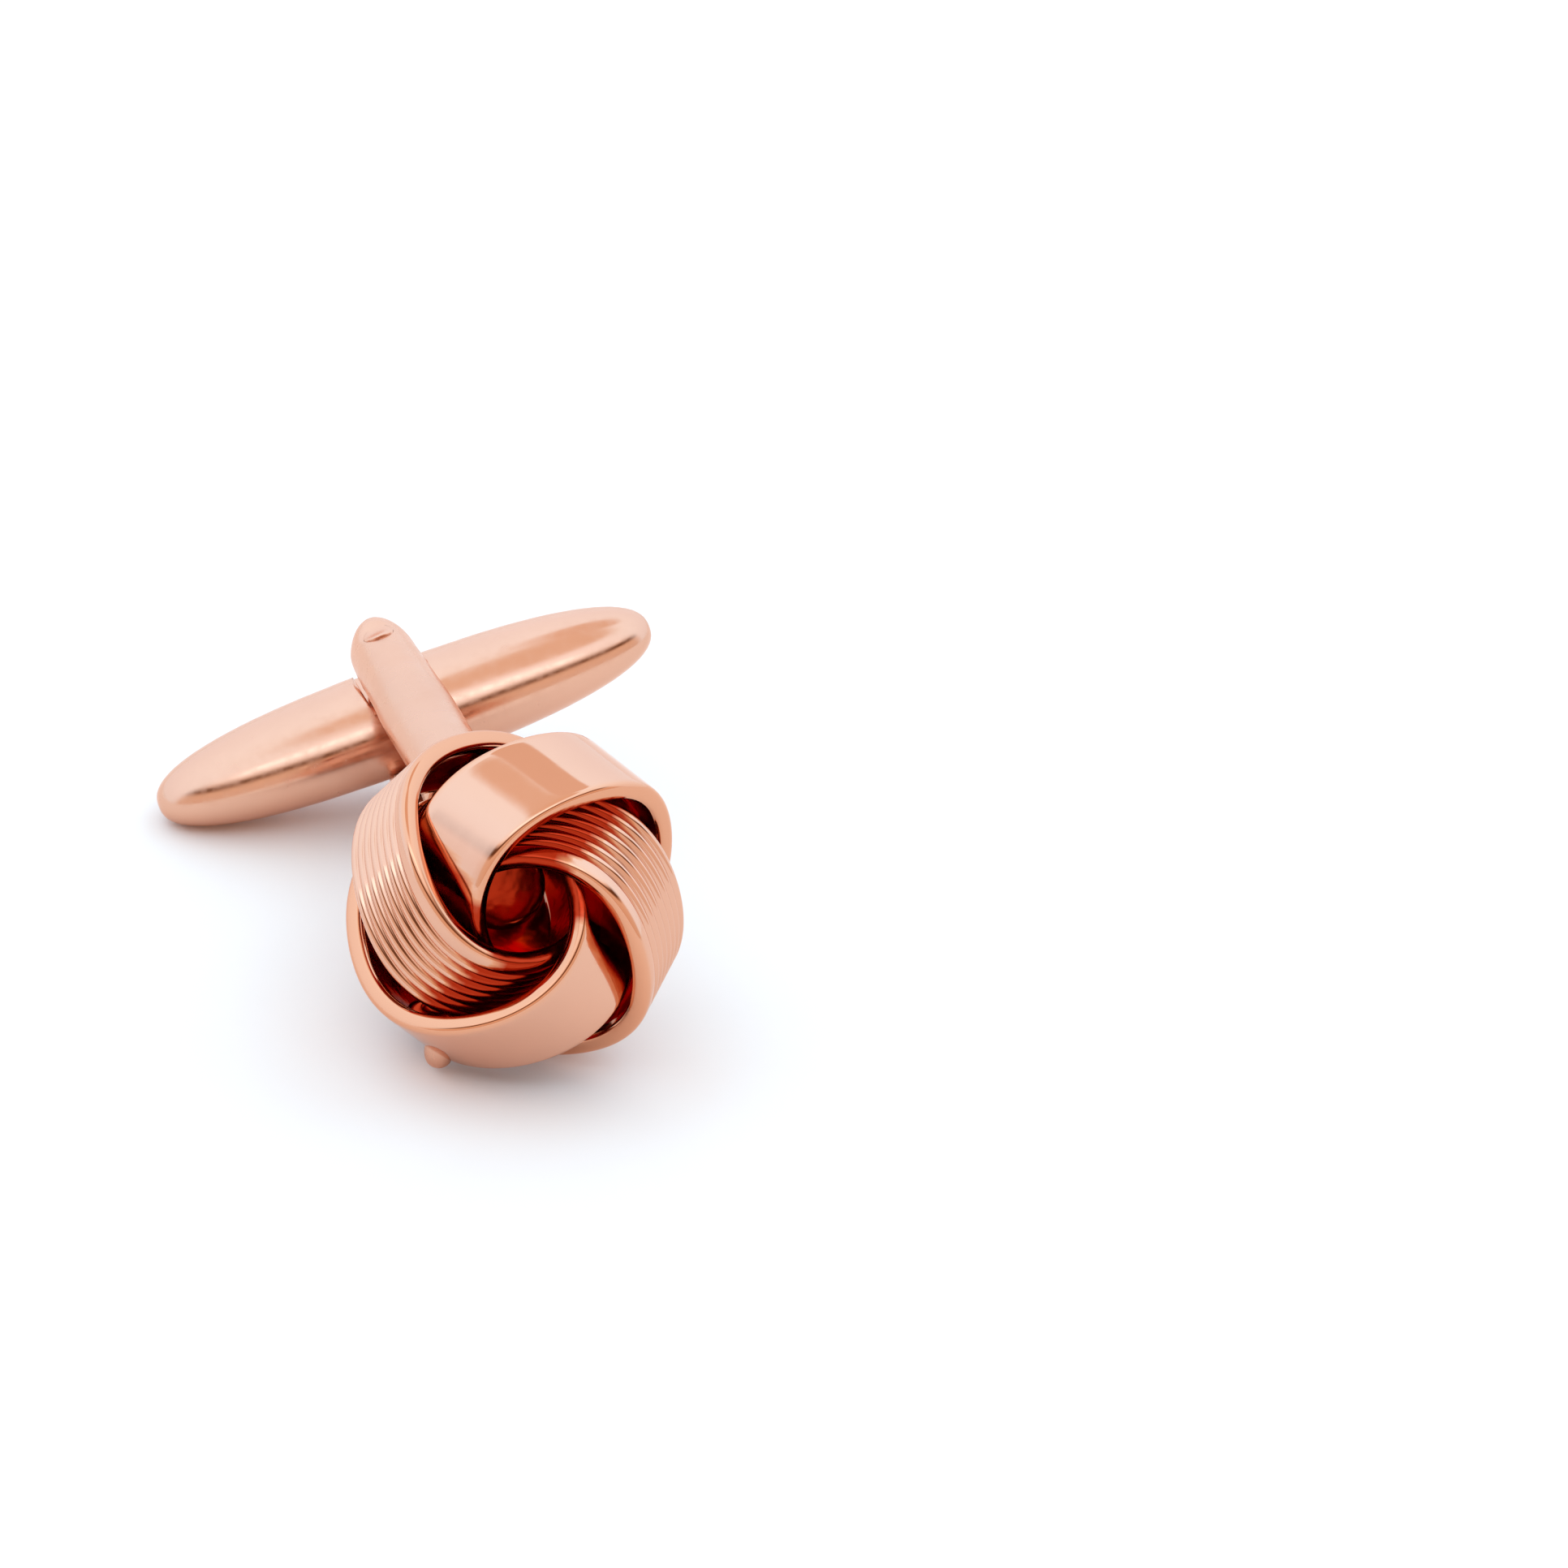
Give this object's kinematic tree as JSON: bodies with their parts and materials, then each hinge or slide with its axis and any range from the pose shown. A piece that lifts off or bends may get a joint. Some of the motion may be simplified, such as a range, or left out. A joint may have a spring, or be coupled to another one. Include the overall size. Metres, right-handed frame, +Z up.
{
  "type": "cufflink",
  "caption": "Knot cufflink of interlinked smooth and ribbed bands on a forked bracket, with a torpedo bar that swivels on a pin.",
  "frame": {"origin": "centre of the footprint, on the surface that the cufflink lies on", "axes": "+Z up from the surface, +Y from the knot towards the bar, +X to the right as seen from the knot's side"},
  "size_m": [0.0196, 0.026, 0.0129],
  "materials": {
    "smooth_band_metal": "mirror-polished rose gold plate",
    "ribbed_band_metal": "polished rose gold plate over ribs",
    "bracket_metal": "polished cast metal with rose gold plate",
    "bar_metal": "polished turned metal with rose gold plate"
  },
  "bodies": {
    "knot_and_bracket": {"smooth_band_top": "smooth_band_metal", "ribbed_band_right": "ribbed_band_metal", "smooth_band_bottom": "smooth_band_metal", "ribbed_band_left": "ribbed_band_metal", "bracket": "bracket_metal", "pivot_pin": "bracket_metal"},
    "bar": {"toggle_bar": "bar_metal"}
  },
  "joints": [
    {"name": "toggle_swivel", "type": "hinge", "parent": "knot_and_bracket", "child": "bar", "pos_m": [0, 0.01038, 0.00388], "axis": [-0.308, 0.133, 0.9421], "range_deg": [-90, 90]}
  ]
}
